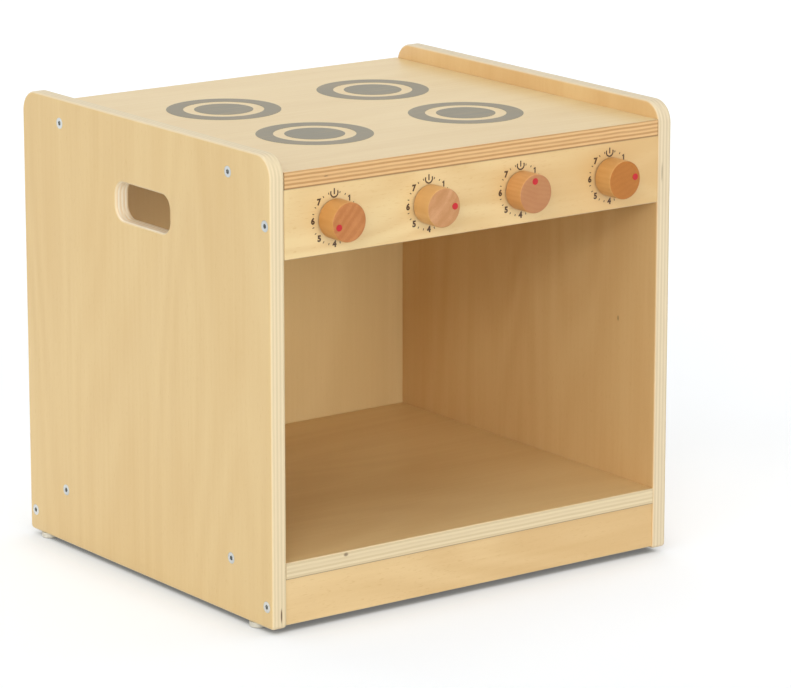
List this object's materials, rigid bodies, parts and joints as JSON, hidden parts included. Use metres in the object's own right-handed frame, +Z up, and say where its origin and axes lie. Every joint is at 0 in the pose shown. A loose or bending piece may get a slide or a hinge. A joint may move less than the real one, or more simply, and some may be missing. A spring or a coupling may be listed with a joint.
{
  "type": "toy oven",
  "caption": "Child's wooden play stove: open oven in a plywood box with hand slots, printed rings on the hob and round knobs that turn on the fascia.",
  "frame": {"origin": "on the floor under the feet, in the middle of the width and of the whole depth with the knobs included", "axes": "+Z up, the open front and the knobs face -Y, +X to the right of someone standing in front"},
  "size_m": [0.44, 0.4218, 0.423],
  "materials": {
    "birch_ply_sides": "clear satin lacquer over birch veneer, vertical grain, ply layers on the edges",
    "birch_ply_hob": "clear satin lacquer over birch veneer, grain from left to right",
    "birch_ply_shelf": "clear satin lacquer over birch veneer, grain from left to right",
    "birch_ply_back": "clear satin lacquer over thin birch ply",
    "birch_ply_fascia": "clear satin lacquer over birch veneer, grain from left to right",
    "birch_ply_plinths": "clear satin lacquer over birch veneer",
    "oiled_beech_knobs": "turned beech, sealed",
    "beech_dowels": "plain beech",
    "zinc_plated_steel": "bright zinc plating",
    "white_glides": "moulded white plastic",
    "nylon_washers": "natural nylon",
    "grey_ring_print": "screen-printed ink",
    "grey_disc_print": "screen-printed ink",
    "brown_dial_print": "screen-printed ink",
    "red_paint": "painted dot"
  },
  "bodies": {
    "cabinet": {"left_side": "birch_ply_sides", "right_side": "birch_ply_sides", "hob_panel": "birch_ply_hob", "shelf": "birch_ply_shelf", "back_panel": "birch_ply_back", "fascia": "birch_ply_fascia", "front_plinth": "birch_ply_plinths", "rear_plinth": "birch_ply_plinths", "left_screws": "zinc_plated_steel", "right_screws": "zinc_plated_steel", "left_dowels": "beech_dowels", "right_dowels": "beech_dowels", "glide_front_left": "white_glides", "glide_front_right": "white_glides", "glide_rear_left": "white_glides", "glide_rear_right": "white_glides", "glide_nails": "zinc_plated_steel", "hob_rings": "grey_ring_print", "hob_discs": "grey_disc_print", "dial_marks": "brown_dial_print"},
    "dial_1": {"knob_1": "oiled_beech_knobs", "dot_1": "red_paint", "spindle_1": "zinc_plated_steel", "front_washer_1": "nylon_washers", "back_washer_1": "zinc_plated_steel", "lock_nut_1": "zinc_plated_steel"},
    "dial_2": {"knob_2": "oiled_beech_knobs", "dot_2": "red_paint", "spindle_2": "zinc_plated_steel", "front_washer_2": "nylon_washers", "back_washer_2": "zinc_plated_steel", "lock_nut_2": "zinc_plated_steel"},
    "dial_3": {"knob_3": "oiled_beech_knobs", "dot_3": "red_paint", "spindle_3": "zinc_plated_steel", "front_washer_3": "nylon_washers", "back_washer_3": "zinc_plated_steel", "lock_nut_3": "zinc_plated_steel"},
    "dial_4": {"knob_4": "oiled_beech_knobs", "dot_4": "red_paint", "spindle_4": "zinc_plated_steel", "front_washer_4": "nylon_washers", "back_washer_4": "zinc_plated_steel", "lock_nut_4": "zinc_plated_steel"}
  },
  "joints": [
    {"name": "dial_1_turn", "type": "hinge", "parent": "cabinet", "child": "dial_1", "pos_m": [-0.1528, -0.1806, 0.36225], "axis": [0, 1, 0], "continuous": true},
    {"name": "dial_2_turn", "type": "hinge", "parent": "cabinet", "child": "dial_2", "pos_m": [-0.05213, -0.1806, 0.36225], "axis": [0, 1, 0], "continuous": true},
    {"name": "dial_3_turn", "type": "hinge", "parent": "cabinet", "child": "dial_3", "pos_m": [0.04853, -0.1806, 0.36225], "axis": [0, 1, 0], "continuous": true},
    {"name": "dial_4_turn", "type": "hinge", "parent": "cabinet", "child": "dial_4", "pos_m": [0.1492, -0.1806, 0.36225], "axis": [0, 1, 0], "continuous": true}
  ]
}
